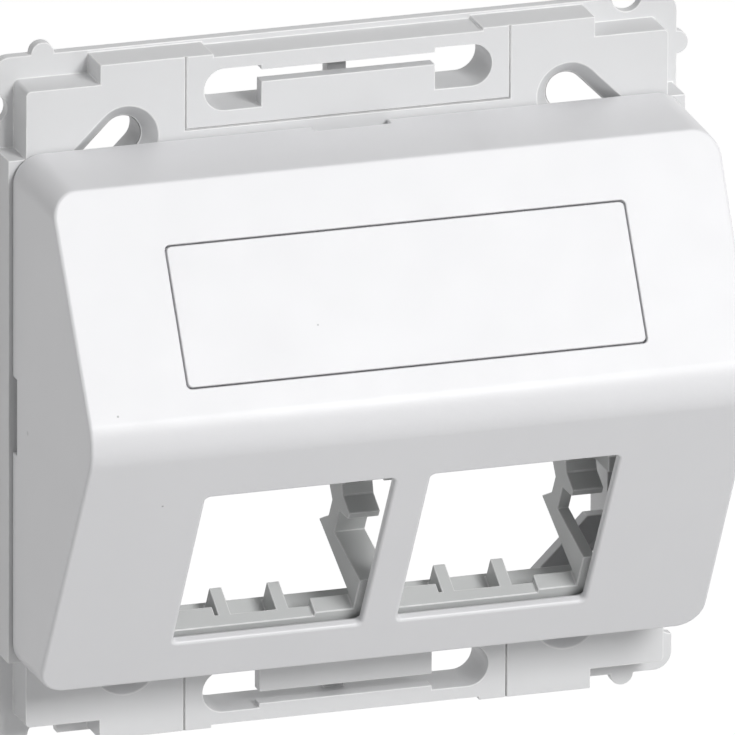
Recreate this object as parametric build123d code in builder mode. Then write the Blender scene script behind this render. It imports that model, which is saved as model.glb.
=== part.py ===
# Two-port sloped ethernet socket: wall frame, connector carrier, hooded cover and label plate
from build123d import *
import math
import os

os.makedirs("parts", exist_ok=True)

# Wall frame, measured from the wall plane outward
frame_width = 67.8
flange_thick = 1.2
frame_depth = 5.1
frame_corner_radius = 1.8
block_width = 63.5
block_height = 63.3
neck_width = 48.9
neck_height = 67.2
edge_relief_width = 26.6
edge_relief_depth = 0.3
lug_width = 67.0
lug_height = 50.0
block_corner_radius = 0.5

# Screw slots, 60 mm apart like the wall box
screw_pitch = 60.0
slot_length = 28.4
slot_height = 4.1
tongue_width = 17.2
tongue_thick = 1.5
tongue_gap = 1.6
lip_drop = 0.45
slot_web_width = 1.9
slot_web_depth = 1.5

# Moulding seam round the panel that holds each screw slot
panel_width = 32.2
panel_foot = 26.3
seam_width = 0.15
seam_depth = 0.15

# Diagonal keyhole slots for larger boxes
keyhole_x = 21.9
keyhole_z = 26.1
keyhole_travel = 7.2
keyhole_width = 3.8
keyhole_head_width = 6.4
keyhole_head_depth = 1.5
keyhole_taper = 40.0

# Couplings that join neighbouring frames
coupling_offset = 28.9
coupling_tab_radius = 1.15
coupling_notch_radius = 1.45

# Middle opening over the wall box
box_opening_width = 52.0
box_opening_height = 48.4
box_opening_bevel = 10.0
corner_relief = 2.0
rear_bevel = 6.5
front_web_thick = 1.5

# Hooded cover
cover_gap = 0.3
cover_width = 66.3
cover_height = 51.2
cover_top_depth = 10.7
cover_foot_depth = 7.1
ridge_depth = 23.96
ridge_height = 3.96
cover_wall = 1.3
cover_side_wall = 1.7
ridge_radius = 4.6
cover_corner_radius = 2.8
cover_edge_radius = 0.35
cover_draft = 1.0
notch_width = 7.5
notch_depth = 1.2

# Clip tongues on the cover that enter the middle opening
clip_width = 9.0
clip_thick = 1.2
clip_reach = 3.2
clip_clear = 0.4
clip_root = 3.0
side_clip_length = 7.0
side_clip_thick = 1.0
side_clip_inset = 0.6
side_clip_drop = 14.0

# Label plate and the pocket it snaps into
label_width = 45.1
label_height = 13.6
label_thick = 0.9
label_gap = 0.15
label_seat_gap = 0.3
label_corner_radius = 0.5
label_centre_height = 14.3
pocket_floor = 0.9
pocket_rim = 1.6
peg_radius = 1.2
peg_length = 1.6
peg_pitch = 36.0
peg_gap = 0.3

# Connector openings in the lower face
port_pitch = 22.2
port_width = 18.6
port_height = 20.6
port_foot = 5.3
port_corner_radius = 0.5
port_edge_radius = 0.35
port_rear_chamfer = 0.5

# Connector carrier behind the lower face
carrier_gap = 0.3
bay_width = 17.8
latch_wall = 3.1
end_latch_wall = 1.2
rib_wall = 0.8
rib_reach = 4.4
rib_foot = 11.0
comb_thick = 1.4
comb_drop = 2.6
floor_reach = 5.3
floor_thick = 1.0
tooth_width = 1.25
tooth_reach = 3.4
tooth_step = 5.7
tooth_shift = -0.5
stop_width = 4.6
stop_reach = 2.5
pad_width = 3.8
pad_height = 0.5
pad_reach = 1.9
wall_reach = 10.05
rail_height = 2.6
rail_hook = 1.9
rail_foot = 0.7
rail_root = 4.5
rail_neck = 2.5
post_width = 2.05
post_height = 2.2
post_lap = 0.5
post_flare = 1.5
post_flare_rise = 0.7
lip_reach = 4.4
lip_rise = 2.1
lip_thick = 0.8
lip_back = 2.1
head_front = 1.25
head_link = 4.0
recess_width = 1.8
recess_wall = 0.35
recess_depth = 2.0
recess_height = 6.0
top_bar_gap = 0.4
top_bar_height = 1.6
top_bar_reach = 3.0
cheek_thick = 1.5
foot_end = 30.6
foot_length = 16.0
foot_thick = 1.6
pin_x = 28.4
pin_radius = 1.4
pin_gap = 0.3
pin_length = 3.0

# Places that follow from the sizes above
cover_rear_y = -frame_depth - cover_gap
half_cover = cover_height / 2
half_frame = frame_width / 2
slot_outer = screw_pitch / 2 + slot_height / 2
panel_top = neck_height / 2 + 2 * seam_width
relief_x = box_opening_width / 2 - corner_relief / 2
relief_z = box_opening_height / 2 - box_opening_bevel + corner_relief / 2
cover_top_y = cover_rear_y - cover_top_depth
cover_foot_y = cover_rear_y - cover_foot_depth
ridge_y = cover_rear_y - ridge_depth
upper_slope = (ridge_depth - cover_top_depth) / (half_cover - ridge_height)
lower_slope = (ridge_depth - cover_foot_depth) / (half_cover + ridge_height)
upper_cos = math.cos(math.atan(upper_slope))
upper_sin = math.sin(math.atan(upper_slope))
lower_cos = math.cos(math.atan(lower_slope))
lower_sin = math.sin(math.atan(lower_slope))
label_y = cover_top_y - (half_cover - label_centre_height) * upper_slope
port_foot_z = -half_cover + port_foot * lower_cos
port_foot_y = cover_foot_y - port_foot * lower_sin
label_plane = Plane(origin=(0, label_y, label_centre_height), x_dir=(1, 0, 0), z_dir=(0, -upper_cos, upper_sin))
port_plane = Plane(origin=(0, port_foot_y, port_foot_z), x_dir=(1, 0, 0), z_dir=(0, -lower_cos, -lower_sin))
port_side_plane = Plane(origin=(0, port_foot_y, port_foot_z), x_dir=(0, lower_cos, lower_sin), z_dir=(1, 0, 0))
port_centres = [(-port_pitch / 2, port_height / 2), (port_pitch / 2, port_height / 2)]
pocket_depth = label_thick + label_seat_gap
clip_outer = box_opening_height / 2 - clip_clear
clip_inner = clip_outer - clip_thick
inner_side = cover_width / 2 - cover_side_wall
side_clip_outer = inner_side - side_clip_inset
side_clip_inner = side_clip_outer - side_clip_thick
side_clip_x = (side_clip_outer + side_clip_inner) / 2
carrier_front = cover_wall + carrier_gap
comb_back = carrier_front + comb_thick
floor_back = carrier_front + floor_reach
wall_back = carrier_front + wall_reach
wall_top = port_height + top_bar_gap + top_bar_height
bay_centres = [-port_pitch / 2, port_pitch / 2]
half_bay = bay_width / 2
post_front = wall_back - post_width
post_top = rail_height + post_height
lip_top = post_top + lip_rise + lip_thick
recess_mid_depth = wall_back - head_front + recess_depth / 2
recess_mid_height = lip_top + lip_thick / 2 + recess_height / 2
carrier_left = -port_pitch / 2 - half_bay - rib_wall
carrier_right = port_pitch / 2 + half_bay + latch_wall
cheek_front_y = port_foot_y + wall_back * lower_cos - wall_top * lower_sin

# Mounting frame: flange, raised block with neck and side lugs, slots and couplings
with BuildPart() as mounting_frame:
    with BuildSketch(Plane.XZ) as flange_outline:
        RectangleRounded(frame_width, frame_width, frame_corner_radius)
        with Locations((-coupling_offset, half_frame), (half_frame, coupling_offset)):
            Circle(coupling_tab_radius)
        with Locations((coupling_offset, -half_frame), (-half_frame, -coupling_offset)):
            Circle(coupling_tab_radius)
        with Locations((coupling_offset, half_frame), (half_frame, -coupling_offset)):
            Circle(coupling_notch_radius, mode=Mode.SUBTRACT)
        with Locations((-coupling_offset, -half_frame), (-half_frame, coupling_offset)):
            Circle(coupling_notch_radius, mode=Mode.SUBTRACT)
    extrude(amount=flange_thick)
    with BuildSketch(Plane.XZ) as block_outline:
        RectangleRounded(block_width, block_height, block_corner_radius)
        Rectangle(neck_width, neck_height)
        Rectangle(lug_width, lug_height)
        with Locations((0, neck_height / 2), (0, -neck_height / 2)):
            Rectangle(edge_relief_width, 2 * edge_relief_depth, mode=Mode.SUBTRACT)
        with Locations((half_frame, -coupling_offset), (-half_frame, coupling_offset)):
            Circle(coupling_notch_radius + cover_gap, mode=Mode.SUBTRACT)
    extrude(amount=frame_depth)
    with BuildSketch(Plane.XZ) as slot_cuts:
        with Locations((0, screw_pitch / 2), (0, -screw_pitch / 2)):
            SlotOverall(slot_length, slot_height)
    extrude(amount=frame_depth, mode=Mode.SUBTRACT)
    for side in (1, -1):
        tongue_foot = screw_pitch / 2 - slot_height / 2 - edge_relief_depth
        tongue_tip = slot_outer - tongue_gap
        with BuildSketch(Plane.XZ.offset(frame_depth)):
            with Locations((0, side * (tongue_foot + tongue_tip) / 2)):
                Rectangle(tongue_width, tongue_tip - tongue_foot)
            with Locations((0, side * slot_outer)):
                Rectangle(tongue_width, 2 * lip_drop)
        extrude(amount=-tongue_thick)
        with BuildSketch(Plane.XZ) as slot_web:
            with Locations((0, side * screw_pitch / 2)):
                Rectangle(slot_web_width, slot_height + 2 * lip_drop)
        extrude(amount=slot_web_depth)
    with BuildSketch(Plane.XZ.offset(frame_depth)) as opening_front:
        Rectangle(box_opening_width, box_opening_height)
        chamfer(opening_front.vertices(), length=box_opening_bevel)
        with GridLocations(2 * relief_x, 2 * relief_z, 2, 2):
            Rectangle(corner_relief, corner_relief)
    extrude(amount=-frame_depth, mode=Mode.SUBTRACT)
    with BuildSketch(Plane.XZ) as opening_rear:
        Rectangle(box_opening_width, box_opening_height)
        chamfer(opening_rear.vertices(), length=rear_bevel)
    extrude(amount=frame_depth - front_web_thick, mode=Mode.SUBTRACT)
    for side_x in (1, -1):
        for side_z in (1, -1):
            slant = keyhole_travel / math.sqrt(8)
            mid_x = side_x * (keyhole_x + slant)
            mid_z = side_z * (keyhole_z - slant)
            turn = -45 * side_x * side_z
            with BuildSketch(Plane.XZ):
                with Locations(Location((mid_x, mid_z), turn)):
                    SlotCenterToCenter(keyhole_travel, keyhole_width)
            extrude(amount=frame_depth, mode=Mode.SUBTRACT)
            with BuildSketch(Plane.XZ.offset(frame_depth)):
                with Locations(Location((mid_x, mid_z), turn)):
                    SlotCenterToCenter(keyhole_travel, keyhole_head_width)
            extrude(amount=-keyhole_head_depth, taper=keyhole_taper, mode=Mode.SUBTRACT)
    with BuildSketch(Plane.XZ.offset(frame_depth)) as pin_and_clip_holes:
        with Locations((-pin_x, 0), (pin_x, 0)):
            Circle(pin_radius + pin_gap)
        with Locations((-side_clip_x, -side_clip_drop), (side_clip_x, -side_clip_drop)):
            Rectangle(side_clip_thick + 2 * clip_clear, side_clip_length + 2 * clip_clear)
    extrude(amount=-frame_depth, mode=Mode.SUBTRACT)
    with BuildSketch(Plane.XZ.offset(frame_depth)) as panel_seams:
        with Locations((0, (panel_top + panel_foot) / 2), (0, -(panel_top + panel_foot) / 2)):
            Rectangle(panel_width, panel_top - panel_foot)
            Rectangle(panel_width - 2 * seam_width, panel_top - panel_foot - 2 * seam_width, mode=Mode.SUBTRACT)
    extrude(amount=-seam_depth, mode=Mode.SUBTRACT)
mounting_frame.part.label = "mounting_frame"
export_step(mounting_frame.part, "parts/mounting_frame.step")

# Cover: sloped hood with a rounded ridge, two connector openings and a label pocket
with BuildPart() as cover:
    with BuildSketch(Plane.YZ) as hood_profile:
        with BuildLine():
            Polyline(
                (cover_rear_y, half_cover),
                (cover_top_y, half_cover),
                (ridge_y, ridge_height),
                (cover_foot_y, -half_cover),
                (cover_rear_y, -half_cover),
                close=True,
            )
        make_face()
        fillet(hood_profile.vertices().sort_by(Axis.X)[0], radius=ridge_radius)
    extrude(amount=cover_width / 2, both=True)
    with BuildSketch(Plane.XZ.offset(-cover_rear_y)) as hood_outline:
        RectangleRounded(cover_width, cover_height, cover_corner_radius)
    extrude(amount=cover_rear_y - ridge_y, taper=cover_draft, mode=Mode.INTERSECT)
    rear_face = cover.faces().sort_by(Axis.Y)[-1]
    front_edges = cover.edges() - rear_face.edges()
    hood_rims = front_edges.filter_by(lambda e: e.center().Y < cover_foot_y + cover_edge_radius)
    fillet(hood_rims, radius=cover_edge_radius)
    with BuildSketch(Plane.YZ) as hollow_profile:
        with BuildLine():
            Polyline(
                (cover_rear_y + 2 * cover_wall, half_cover),
                (cover_top_y, half_cover),
                (ridge_y, ridge_height),
                (cover_foot_y, -half_cover),
                (cover_rear_y + 2 * cover_wall, -half_cover),
                close=True,
            )
        make_face()
        offset(amount=-cover_wall, kind=Kind.INTERSECTION)
        fillet(hollow_profile.vertices().sort_by(Axis.X)[0], radius=ridge_radius - cover_wall)
    extrude(amount=cover_width / 2 - cover_side_wall, both=True, mode=Mode.SUBTRACT)
    with BuildSketch(label_plane.offset(-cover_wall / 2)) as pocket_backing:
        Rectangle(label_width + 2 * pocket_rim, label_height + 2 * pocket_rim)
    extrude(amount=-(pocket_depth + pocket_floor - cover_wall / 2))
    with BuildSketch(label_plane) as pocket_cut:
        RectangleRounded(label_width + 2 * label_gap, label_height + 2 * label_gap, label_corner_radius)
    extrude(amount=-pocket_depth, mode=Mode.SUBTRACT)
    with BuildSketch(label_plane) as peg_holes:
        with Locations((-peg_pitch / 2, 0), (peg_pitch / 2, 0)):
            Circle(peg_radius + peg_gap)
    extrude(amount=-2 * (pocket_depth + pocket_floor), mode=Mode.SUBTRACT)
    with BuildSketch(port_plane) as port_cuts:
        with Locations(*port_centres):
            RectangleRounded(port_width, port_height, port_corner_radius)
    extrude(amount=-3 * cover_wall, mode=Mode.SUBTRACT)
    port_edges = cover.edges(Select.LAST)
    port_edges_by_depth = port_edges.group_by(lambda e: round(port_plane.to_local_coords(e.center()).Z, 3))
    port_rims = port_edges_by_depth[-1]
    rear_rims = port_edges_by_depth[0]
    fillet(port_rims, radius=port_edge_radius)
    chamfer(rear_rims, length=port_rear_chamfer)
    with BuildSketch(Plane.XZ.offset(-cover_rear_y)) as notch_cuts:
        with Locations((0, half_cover)):
            Rectangle(notch_width, 3 * cover_wall)
        with Locations((-cover_width / 2, 0), (cover_width / 2, 0)):
            Rectangle(3 * cover_side_wall, notch_width)
    extrude(amount=notch_depth, mode=Mode.SUBTRACT)
    with BuildSketch(Plane.XZ.offset(-cover_rear_y + notch_depth)) as clip_roots:
        with Locations((0, (clip_inner + half_cover - cover_wall / 2) / 2)):
            Rectangle(clip_width, half_cover - cover_wall / 2 - clip_inner)
        for side in (1, -1):
            with Locations((side * (side_clip_inner + inner_side + cover_side_wall / 2) / 2, -side_clip_drop)):
                Rectangle(inner_side + cover_side_wall / 2 - side_clip_inner, side_clip_length)
    extrude(amount=clip_root)
    with BuildSketch(Plane.XZ.offset(-cover_rear_y + notch_depth)) as clip_tongues:
        with Locations((0, (clip_inner + clip_outer) / 2)):
            Rectangle(clip_width, clip_thick)
        with Locations((-side_clip_x, -side_clip_drop), (side_clip_x, -side_clip_drop)):
            Rectangle(side_clip_thick, side_clip_length)
    extrude(amount=-(clip_reach + notch_depth))
cover.part.label = "cover"
export_step(cover.part, "parts/cover.step")

# Label plate: flush blank plate with two pegs that snap into the pocket floor
with BuildPart() as label_plate:
    with BuildSketch(label_plane) as plate_outline:
        RectangleRounded(label_width, label_height, label_corner_radius)
    extrude(amount=-label_thick)
    with BuildSketch(label_plane.offset(-label_thick)) as pegs:
        with Locations((-peg_pitch / 2, 0), (peg_pitch / 2, 0)):
            Circle(peg_radius)
    extrude(amount=-peg_length)
label_plate.part.label = "label_plate"
export_step(label_plate.part, "parts/label_plate.step")

# Connector carrier: comb bar, floor, slotted latch walls, ribs, top bar, cheeks and feet
with BuildPart() as connector_carrier:
    with BuildSketch(port_side_plane.offset(carrier_left)) as cross_bars:
        with BuildLine():
            Polyline(
                (carrier_front, -comb_drop - floor_thick),
                (floor_back, -comb_drop - floor_thick),
                (floor_back, -comb_drop),
                (comb_back, -comb_drop),
                (comb_back, 0),
                (carrier_front, 0),
                close=True,
            )
        make_face()
        with Locations((carrier_front + top_bar_reach / 2, wall_top - top_bar_height / 2)):
            Rectangle(top_bar_reach, top_bar_height)
    extrude(amount=carrier_right - carrier_left)
    for centre, rail_wall in zip(bay_centres, (latch_wall, end_latch_wall)):
        with BuildSketch(port_side_plane.offset(centre + half_bay)) as latch_rail:
            with BuildLine():
                Polyline(
                    (carrier_front, -comb_drop - floor_thick),
                    (carrier_front + pad_reach, -comb_drop - floor_thick),
                    (carrier_front + pad_reach, rail_foot),
                    (wall_back + rail_hook, 0),
                    (wall_back, rail_height),
                    (wall_back, post_top + post_lap),
                    (post_front, post_top + post_lap),
                    (post_front, rail_neck),
                    (carrier_front, rail_root),
                    close=True,
                )
            make_face()
        extrude(amount=rail_wall)
        with BuildSketch(port_side_plane.offset(centre + half_bay)) as latch_head:
            with BuildLine():
                Polyline(
                    (post_front, post_top),
                    (wall_back, post_top),
                    (wall_back + post_flare, post_top + post_flare_rise),
                    (wall_back + post_flare, wall_top),
                    (carrier_front, wall_top),
                    (carrier_front, wall_top - head_link),
                    (wall_back - head_front, wall_top - head_link),
                    (wall_back - head_front, lip_top + lip_thick),
                    (wall_back - lip_back, lip_top),
                    (wall_back - lip_reach, lip_top),
                    (wall_back - lip_reach, lip_top - lip_thick),
                    (post_front, post_top + post_flare_rise),
                    close=True,
                )
            make_face()
        extrude(amount=latch_wall)
        with BuildSketch(port_side_plane.offset(centre + half_bay + recess_wall)) as head_recess:
            with Locations((recess_mid_depth, recess_mid_height)):
                Rectangle(recess_depth, recess_height)
        extrude(amount=recess_width, mode=Mode.SUBTRACT)
        with BuildSketch(port_side_plane.offset(centre - half_bay - rib_wall)) as rib_side:
            with Locations((carrier_front + rib_reach / 2, (wall_top + rib_foot) / 2)):
                Rectangle(rib_reach, wall_top - rib_foot)
        extrude(amount=rib_wall)
        for turn in (-1, 1):
            tooth_start = centre + tooth_shift + turn * tooth_step / 2 - tooth_width / 2
            with BuildSketch(port_side_plane.offset(tooth_start)) as tooth_side:
                with Locations(((comb_back - comb_thick / 2 + comb_back + tooth_reach) / 2, -comb_drop / 2)):
                    Rectangle(tooth_reach + comb_thick / 2, comb_drop)
            extrude(amount=tooth_width)
        with BuildSketch(port_side_plane.offset(centre - half_bay)) as stop_side:
            with Locations((carrier_front + stop_reach / 2, -comb_drop / 2)):
                Rectangle(stop_reach, comb_drop)
        extrude(amount=stop_width)
        with BuildSketch(port_side_plane.offset(centre + half_bay - pad_width)) as pad_side:
            with Locations((carrier_front + pad_reach / 2, (pad_height - comb_drop) / 2)):
                Rectangle(pad_reach, pad_height + comb_drop)
        extrude(amount=pad_width)
    for side, edge in ((-1, -carrier_left), (1, carrier_right)):
        with BuildSketch(Plane.YZ.offset(side * edge - cheek_thick / 2)) as cheek_side:
            with Locations(((-frame_depth + cheek_front_y) / 2, 0)):
                Rectangle(-frame_depth - cheek_front_y, foot_length)
        extrude(amount=cheek_thick)
        foot_start = edge - cheek_thick / 2
        with BuildSketch(Plane.XZ.offset(frame_depth)) as foot:
            with Locations((side * (foot_start + foot_end) / 2, 0)):
                Rectangle(foot_end - foot_start, foot_length)
        extrude(amount=foot_thick)
        with BuildSketch(Plane.XZ.offset(frame_depth)) as pin:
            with Locations((side * pin_x, 0)):
                Circle(pin_radius)
        extrude(amount=-pin_length)
connector_carrier.part.label = "connector_carrier"
export_step(connector_carrier.part, "parts/connector_carrier.step")
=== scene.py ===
import math
import bmesh
import bpy
from mathutils import Matrix, Vector


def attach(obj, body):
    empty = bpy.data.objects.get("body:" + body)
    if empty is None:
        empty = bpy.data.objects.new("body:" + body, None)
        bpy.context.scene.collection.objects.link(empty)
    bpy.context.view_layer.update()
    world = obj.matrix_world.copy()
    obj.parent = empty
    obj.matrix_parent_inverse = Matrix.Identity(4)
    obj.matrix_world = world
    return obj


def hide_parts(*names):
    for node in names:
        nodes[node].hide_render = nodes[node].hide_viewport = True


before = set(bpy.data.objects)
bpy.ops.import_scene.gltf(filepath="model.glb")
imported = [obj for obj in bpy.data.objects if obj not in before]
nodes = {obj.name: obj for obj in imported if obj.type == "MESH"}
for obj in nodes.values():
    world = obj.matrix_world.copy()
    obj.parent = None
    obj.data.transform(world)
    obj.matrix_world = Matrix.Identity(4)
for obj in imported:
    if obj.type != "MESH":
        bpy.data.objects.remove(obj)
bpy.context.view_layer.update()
mm = 0.001
print("frame loaded:", ", ".join(sorted(nodes)))


# camera at the photograph's angle, a long lens from far off
camera = {
    "azimuth": -18.1122,
    "elevation": 19.0147,
    "roll": -0.2706,
    "distance": 2.8,
    "pictureWidth": 735,
    "pixelsPerMm": 10.5974,
    "aimRight": 1.927 * mm,
    "aimUp": 1.0765 * mm,
    "turnPoint": (0, -5.1 * mm, 0),
    "clipNear": 0.1,
    "clipFar": 20,
}


def placeCamera():
    azimuth = math.radians(camera["azimuth"])
    elevation = math.radians(camera["elevation"])
    roll = math.radians(camera["roll"])
    levelBack = Vector((math.sin(azimuth), -math.cos(azimuth), 0))
    levelRight = Vector((math.cos(azimuth), math.sin(azimuth), 0))
    back = levelBack * math.cos(elevation) + Vector((0, 0, math.sin(elevation)))
    levelUp = back.cross(levelRight)
    right = levelRight * math.cos(roll) - levelUp * math.sin(roll)
    up = levelRight * math.sin(roll) + levelUp * math.cos(roll)
    aimPoint = Vector(camera["turnPoint"]) + right * camera["aimRight"] + up * camera["aimUp"]
    frameWidth = camera["pictureWidth"] / camera["pixelsPerMm"] * mm
    lens = bpy.data.cameras.new("photoCamera")
    lens.lens = lens.sensor_width * camera["distance"] / frameWidth
    lens.clip_start = camera["clipNear"]
    lens.clip_end = camera["clipFar"]
    photoCamera = bpy.data.objects.new("photoCamera", lens)
    bpy.context.scene.collection.objects.link(photoCamera)
    place = Matrix((right, up, back)).transposed().to_4x4()
    place.translation = aimPoint + back * camera["distance"]
    photoCamera.matrix_world = place
    return photoCamera


bpy.context.scene.camera = placeCamera()
bpy.context.scene.view_settings.view_transform = "Standard"
print("camera set")


# a socket is fed by another node's output or by a plain value
def feed(tree, socket, source):
    if isinstance(source, bpy.types.NodeSocket):
        tree.links.new(source, socket)
    else:
        socket.default_value = source


def addMath(tree, operation, *terms):
    step = tree.nodes.new("ShaderNodeMath")
    step.operation = operation
    for socket, term in zip(step.inputs, terms):
        feed(tree, socket, term)
    return step.outputs[0]


def addNoise(tree, place, scale, detail):
    noise = tree.nodes.new("ShaderNodeTexNoise")
    noise.inputs["Scale"].default_value = scale
    noise.inputs["Detail"].default_value = detail
    tree.links.new(place, noise.inputs["Vector"])
    return noise.outputs["Fac"]


def addRange(tree, value, fromLow, fromHigh, toLow=0, toHigh=1):
    spread = tree.nodes.new("ShaderNodeMapRange")
    spread.inputs["From Min"].default_value = fromLow
    spread.inputs["From Max"].default_value = fromHigh
    spread.inputs["To Min"].default_value = toLow
    spread.inputs["To Max"].default_value = toHigh
    tree.links.new(value, spread.inputs["Value"])
    return spread.outputs["Result"]


# the colour sockets of a Mix node share their names with its number sockets, so they go by place
mixSockets = {"share": 0, "under": 6, "over": 7, "result": 2}


def addMix(tree, share, under, over, blend="MIX"):
    mix = tree.nodes.new("ShaderNodeMix")
    mix.data_type = "RGBA"
    mix.blend_type = blend
    feed(tree, mix.inputs[mixSockets["share"]], share)
    feed(tree, mix.inputs[mixSockets["under"]], under)
    feed(tree, mix.inputs[mixSockets["over"]], over)
    return mix.outputs[mixSockets["result"]]


# 1 for a surface seen straight, through glass or in a gloss, 0 for the light that it sends out
def addSeenMask(tree):
    rays = tree.nodes.new("ShaderNodeLightPath")
    seen = addMath(tree, "MAXIMUM", rays.outputs["Is Camera Ray"], rays.outputs["Is Transmission Ray"])
    return addMath(tree, "MAXIMUM", seen, rays.outputs["Is Glossy Ray"])


# pale room: weak even light on the object, plain white where it is seen
room = {"colour": (1, 1, 1, 1), "lightLevel": 0.21, "seenLevel": 1.0}


def addBackground(tree, level):
    background = tree.nodes.new("ShaderNodeBackground")
    background.inputs["Color"].default_value = room["colour"]
    background.inputs["Strength"].default_value = level
    return background.outputs[0]


def paintRoom():
    world = bpy.data.worlds.new("paleRoom")
    bpy.context.scene.world = world
    world.use_nodes = True
    tree = world.node_tree
    tree.nodes.clear()
    mix = tree.nodes.new("ShaderNodeMixShader")
    tree.links.new(addSeenMask(tree), mix.inputs["Fac"])
    tree.links.new(addBackground(tree, room["lightLevel"]), mix.inputs[1])
    tree.links.new(addBackground(tree, room["seenLevel"]), mix.inputs[2])
    told = tree.nodes.new("ShaderNodeOutputWorld")
    tree.links.new(mix.outputs[0], told.inputs["Surface"])


paintRoom()

# soft studio light: a key from the front right, weaker panels in front, beside and overhead
panels = [
    {"name": "keyPanel", "from": (0.4, -1.09, 0.68), "size": 0.45, "power": 11.4},
    {"name": "frontPanel", "from": (0.1, -1.3, 0.02), "size": 0.9, "power": 1.0},
    {"name": "leftPanel", "from": (-1.28, 0.06, 0.2), "size": 0.8, "power": 2.4},
    {"name": "rightPanel", "from": (1.28, 0.06, 0.2), "size": 0.8, "power": 2.4},
    {"name": "topPanel", "from": (0.1, 0.25, 1.32), "size": 0.8, "power": 1.8},
]


def hangPanel(panel):
    light = bpy.data.lights.new(panel["name"], "AREA")
    light.shape = "SQUARE"
    light.size = panel["size"]
    light.energy = panel["power"]
    hung = bpy.data.objects.new(panel["name"], light)
    bpy.context.scene.collection.objects.link(hung)
    hung.location = panel["from"]
    hung.rotation_mode = "QUATERNION"
    hung.rotation_quaternion = Vector(panel["from"]).to_track_quat("Z", "Y")


for panel in panels:
    hangPanel(panel)

# pale floor under the object, lifted to white where it is seen
floor = {"height": -0.11, "size": 12.0, "parts": 4, "colour": (0.6, 0.6, 0.6, 1), "lift": 0.7}


def palePaper():
    paper = bpy.data.materials.new("palePaper")
    paper.use_nodes = True
    tree = paper.node_tree
    tree.nodes.clear()
    diffuse = tree.nodes.new("ShaderNodeBsdfDiffuse")
    diffuse.inputs["Color"].default_value = floor["colour"]
    glow = tree.nodes.new("ShaderNodeEmission")
    tree.links.new(addMath(tree, "MULTIPLY", addSeenMask(tree), floor["lift"]), glow.inputs["Strength"])
    both = tree.nodes.new("ShaderNodeAddShader")
    tree.links.new(diffuse.outputs[0], both.inputs[0])
    tree.links.new(glow.outputs[0], both.inputs[1])
    told = tree.nodes.new("ShaderNodeOutputMaterial")
    tree.links.new(both.outputs[0], told.inputs["Surface"])
    return paper


def layFloor():
    mesh = bpy.data.meshes.new("floor")
    shape = bmesh.new()
    bmesh.ops.create_grid(shape, x_segments=floor["parts"], y_segments=floor["parts"], size=floor["size"] / 2)
    bmesh.ops.translate(shape, vec=(0, 0, floor["height"]), verts=shape.verts)
    shape.to_mesh(mesh)
    shape.free()
    mesh.materials.append(palePaper())
    laid = bpy.data.objects.new("floor", mesh)
    bpy.context.scene.collection.objects.link(laid)


layFloor()
print("light and floor set")


# one skin for all the moulded plastic: faint cloudiness, fine grain, stray specks, and a painted highlight on
# the softened edges
skinLook = {
    "cloud": {"scale": 90, "detail": 3, "low": 0.3, "high": 0.7, "tint": (0.86, 0.865, 0.87, 1)},
    "speck": {"scale": 75, "rim": 0.016, "core": 0.008, "rarity": 0.6, "tint": (0.3, 0.29, 0.28, 1)},
    # edge: the pale tint of the painted edge highlight
    "edge": {"scale": 700, "detail": 2, "tint": (0.9, 0.9, 0.9, 1)},
    "sheen": {"scale": 220, "detail": 4, "swing": 0.06},
    "grain": {"scale": 3800, "detail": 2, "height": 0.01 * mm},
    "ripple": {"scale": 260, "detail": 1, "weight": 1.5},
    "takes": {"Place": "Vector", "Base": "Color", "Cloud": "Float", "Grain": "Float",
              "Speck": "Float", "EdgeHighlight": "Float", "Sheen": "Float"},
    "gives": {"Colour": "Color", "Roughness": "Float", "Normal": "Vector"},
}


def clouded(skin, given):
    look = skinLook["cloud"]
    noise = addNoise(skin, given.outputs["Place"], look["scale"], look["detail"])
    cloud = addRange(skin, noise, look["low"], look["high"])
    share = addMath(skin, "MULTIPLY", cloud, given.outputs["Cloud"])
    return addMix(skin, share, given.outputs["Base"], look["tint"], "MULTIPLY")


def specked(skin, given, colour):
    look = skinLook["speck"]
    cells = skin.nodes.new("ShaderNodeTexVoronoi")
    cells.inputs["Scale"].default_value = look["scale"]
    skin.links.new(given.outputs["Place"], cells.inputs["Vector"])
    picked = skin.nodes.new("ShaderNodeSeparateColor")
    skin.links.new(cells.outputs["Color"], picked.inputs["Color"])
    rare = addMath(skin, "GREATER_THAN", picked.outputs[0], look["rarity"])
    spot = addRange(skin, cells.outputs["Distance"], look["rim"], look["core"])
    share = addMath(skin, "MULTIPLY", addMath(skin, "MULTIPLY", spot, rare), given.outputs["Speck"])
    return addMix(skin, share, colour, look["tint"])


# softened edges carry a painted highlight, a pale tint in a band of their own, broken up by a small noise
def paintEdgeHighlight(skin, given, colour):
    look = skinLook["edge"]
    band = skin.nodes.new("ShaderNodeAttribute")
    band.attribute_name = "edgeBand"
    noise = addNoise(skin, given.outputs["Place"], look["scale"], look["detail"])
    edgeHighlightShare = addMath(skin, "MULTIPLY", band.outputs["Fac"], noise)
    return addMix(skin, addMath(skin, "MULTIPLY", edgeHighlightShare, given.outputs["EdgeHighlight"]), colour, look["tint"])


def patchySheen(skin, given):
    look = skinLook["sheen"]
    noise = addNoise(skin, given.outputs["Place"], look["scale"], look["detail"])
    patches = addRange(skin, noise, 0, 1, -look["swing"], look["swing"])
    return addMath(skin, "ADD", patches, given.outputs["Sheen"])


def grainNormal(skin, given):
    fine = skinLook["grain"]
    broad = skinLook["ripple"]
    grain = addNoise(skin, given.outputs["Place"], fine["scale"], fine["detail"])
    ripple = addNoise(skin, given.outputs["Place"], broad["scale"], broad["detail"])
    bump = skin.nodes.new("ShaderNodeBump")
    bump.inputs["Distance"].default_value = fine["height"]
    skin.links.new(addMath(skin, "MULTIPLY_ADD", ripple, broad["weight"], grain), bump.inputs["Height"])
    skin.links.new(given.outputs["Grain"], bump.inputs["Strength"])
    return bump.outputs["Normal"]


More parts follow.
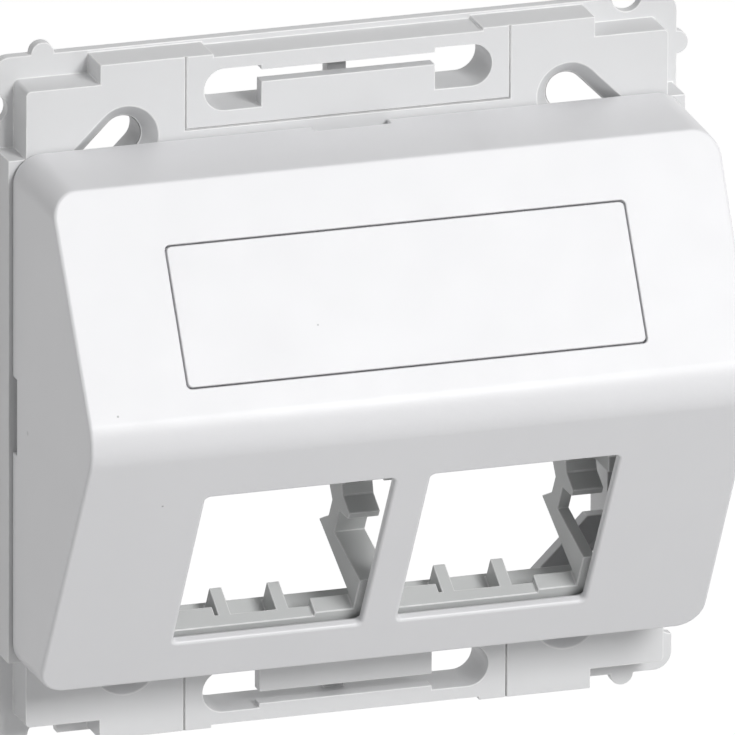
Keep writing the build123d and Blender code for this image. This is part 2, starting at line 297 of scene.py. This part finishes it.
def buildMouldedSkin():
    skin = bpy.data.node_groups.new("mouldedSkin", "ShaderNodeTree")
    for name, kind in skinLook["takes"].items():
        skin.interface.new_socket(name, in_out="INPUT", socket_type="NodeSocket" + kind)
    for name, kind in skinLook["gives"].items():
        skin.interface.new_socket(name, in_out="OUTPUT", socket_type="NodeSocket" + kind)
    given = skin.nodes.new("NodeGroupInput")
    told = skin.nodes.new("NodeGroupOutput")
    colour = paintEdgeHighlight(skin, given, specked(skin, given, clouded(skin, given)))
    skin.links.new(colour, told.inputs["Colour"])
    skin.links.new(patchySheen(skin, given), told.inputs["Roughness"])
    skin.links.new(grainNormal(skin, given), told.inputs["Normal"])
    return skin


mouldedSkin = buildMouldedSkin()
print("moulded skin mixed")


# small grey marks on the plastic, each a soft round spot at its own place in millimetres
markTint = (0.2, 0.2, 0.2, 1)


def addMarks(tree, place, colour, marks):
    for mark in marks:
        apart = tree.nodes.new("ShaderNodeVectorMath")
        apart.operation = "DISTANCE"
        apart.inputs[1].default_value = [along * mm for along in mark["at"]]
        tree.links.new(place, apart.inputs[0])
        rim = mark["radius"] * mm
        spot = addRange(tree, apart.outputs["Value"], rim, rim / 2, 0, mark["force"])
        colour = addMix(tree, spot, colour, markTint)
    return colour


def mouldedPlastic(finish):
    plastic = bpy.data.materials.new(finish["plastic"])
    plastic.use_nodes = True
    tree = plastic.node_tree
    surface = tree.nodes["Principled BSDF"]
    surface.inputs["IOR"].default_value = finish["ior"]
    place = tree.nodes.new("ShaderNodeTexCoord").outputs["Object"]
    skin = tree.nodes.new("ShaderNodeGroup")
    skin.node_tree = mouldedSkin
    skin.inputs["Base"].default_value = finish["colour"]
    skin.inputs["Cloud"].default_value = finish["cloud"]
    skin.inputs["Grain"].default_value = finish["grain"]
    skin.inputs["Speck"].default_value = finish["speck"]
    # the edge value sets how strong the painted edge highlight is
    skin.inputs["EdgeHighlight"].default_value = finish["edge"]
    skin.inputs["Sheen"].default_value = finish["roughness"]
    tree.links.new(place, skin.inputs["Place"])
    colour = addMarks(tree, place, skin.outputs["Colour"], finish["marks"])
    tree.links.new(colour, surface.inputs["Base Color"])
    tree.links.new(skin.outputs["Roughness"], surface.inputs["Roughness"])
    tree.links.new(skin.outputs["Normal"], surface.inputs["Normal"])
    return plastic


# wide flat faces keep their own normal, so the light runs evenly across them
flats = {
    "leastArea": 40 * mm * mm,
    "normalDigits": 2,
    "offsetDigits": 4,
    "strong": 16383,
    "weak": -16384,
    "layer": "__mod_weightednormals_faceweight",  # the face layer that the modifier reads
}
mergeWithin = 0.001 * mm


def planeOf(face):
    turned = [round(along, flats["normalDigits"]) for along in face.normal]
    return (*turned, round(face.normal.dot(face.verts[0].co), flats["offsetDigits"]))


def strengthenFlats(shape):
    weight = shape.faces.layers.int.new(flats["layer"])
    areas = {}
    for face in shape.faces:
        areas[planeOf(face)] = areas.get(planeOf(face), 0) + face.calc_area()
    for face in shape.faces:
        if areas[planeOf(face)] > flats["leastArea"]:
            face[weight] = flats["strong"]
    return weight


# a merged copy of a node whose edges are softened as a mould leaves them
def softenedPiece(nodeName, pieceName, body, finish):
    mesh = nodes[nodeName].data.copy()
    mesh.name = pieceName
    givenNormals = mesh.attributes.get("custom_normal")
    if givenNormals:
        mesh.attributes.remove(givenNormals)
    shape = bmesh.new()
    shape.from_mesh(mesh)
    bmesh.ops.remove_doubles(shape, verts=shape.verts, dist=mergeWithin)
    edgeBand = shape.faces.layers.float.new("edgeBand")
    weight = strengthenFlats(shape)
    sharpAngle = math.radians(finish["sharpAngle"])
    sharpEdges = [edge for edge in shape.edges if edge.calc_face_angle(0) > sharpAngle]
    softened = bmesh.ops.bevel(
        shape, geom=sharpEdges, offset=finish["softWidth"], segments=finish["softSegments"],
        affect="EDGES", profile=0.5, material=-1, clamp_overlap=False,
    )
    # the softened faces form the edgeBand, where the skin paints its edge highlight
    for face in softened["faces"]:
        face[edgeBand] = 1.0
        face[weight] = flats["weak"]
    shape.to_mesh(mesh)
    shape.free()
    mesh.materials.clear()
    mesh.materials.append(mouldedPlastic(finish))
    mesh.shade_smooth()
    piece = bpy.data.objects.new(pieceName, mesh)
    bpy.context.scene.collection.objects.link(piece)
    flatFaces = piece.modifiers.new("flatFaces", "WEIGHTED_NORMAL")
    flatFaces.mode = "CORNER_ANGLE"
    flatFaces.use_face_influence = True
    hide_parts(nodeName)
    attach(piece, body)


# wall frame, pale grey, with a painted highlight on its softened edges
frameFinish = {
    "plastic": "paleGreyFrame", "colour": (0.765, 0.768, 0.774, 1), "cloud": 0.15,
    "grain": 0.45, "speck": 0.4, "edge": 1.7, "roughness": 0.44, "ior": 1.46,
    "marks": [],
    "softWidth": 0.1 * mm, "softSegments": 2, "sharpAngle": 35,
}
softenedPiece("mounting_frame", "wallFrame", "base", frameFinish)

# connector carrier, a darker grey, seen through the windows
carrierFinish = {
    "plastic": "paleGreyCarrier", "colour": (0.66, 0.67, 0.665, 1), "cloud": 0.15,
    "grain": 0.45, "speck": 0.3, "edge": 1.4, "roughness": 0.5, "ior": 1.46,
    "marks": [],
    "softWidth": 0.12 * mm, "softSegments": 2, "sharpAngle": 35,
}
softenedPiece("connector_carrier", "connectorCarrier", "base", carrierFinish)

# sloped cover, satin white with a few faint marks
coverFinish = {
    "plastic": "satinWhiteCover", "colour": (0.83, 0.83, 0.845, 1), "cloud": 0.12,
    "grain": 0.35, "speck": 0.35, "edge": 0.3, "roughness": 0.36, "ior": 1.46,
    "marks": [
        {"at": (-29.83, -27.65, 6.75), "radius": 0.14, "force": 0.6},
        {"at": (-24.62, -25.1, -3.5), "radius": 0.13, "force": 0.6},
        {"at": (-33.05, -9.83, -0.46), "radius": 0.3, "force": 0.25},
        {"at": (-33.05, -24.8, 7.99), "radius": 0.2, "force": 0.2},
    ],
    "softWidth": 0.12 * mm, "softSegments": 2, "sharpAngle": 40,
}
softenedPiece("cover", "slopedCover", "hood", coverFinish)

# blank label plate, a touch whiter and smoother than the cover
labelFinish = {
    "plastic": "satinWhiteLabel", "colour": (0.84, 0.84, 0.855, 1), "cloud": 0.08,
    "grain": 0.25, "speck": 0.2, "edge": 0.3, "roughness": 0.38, "ior": 1.46,
    "marks": [{"at": (-9.09, -24.1, 12.54), "radius": 0.12, "force": 0.5}],
    "softWidth": 0.12 * mm, "softSegments": 2, "sharpAngle": 40,
}
softenedPiece("label_plate", "labelPlate", "label", labelFinish)
print("pieces made")
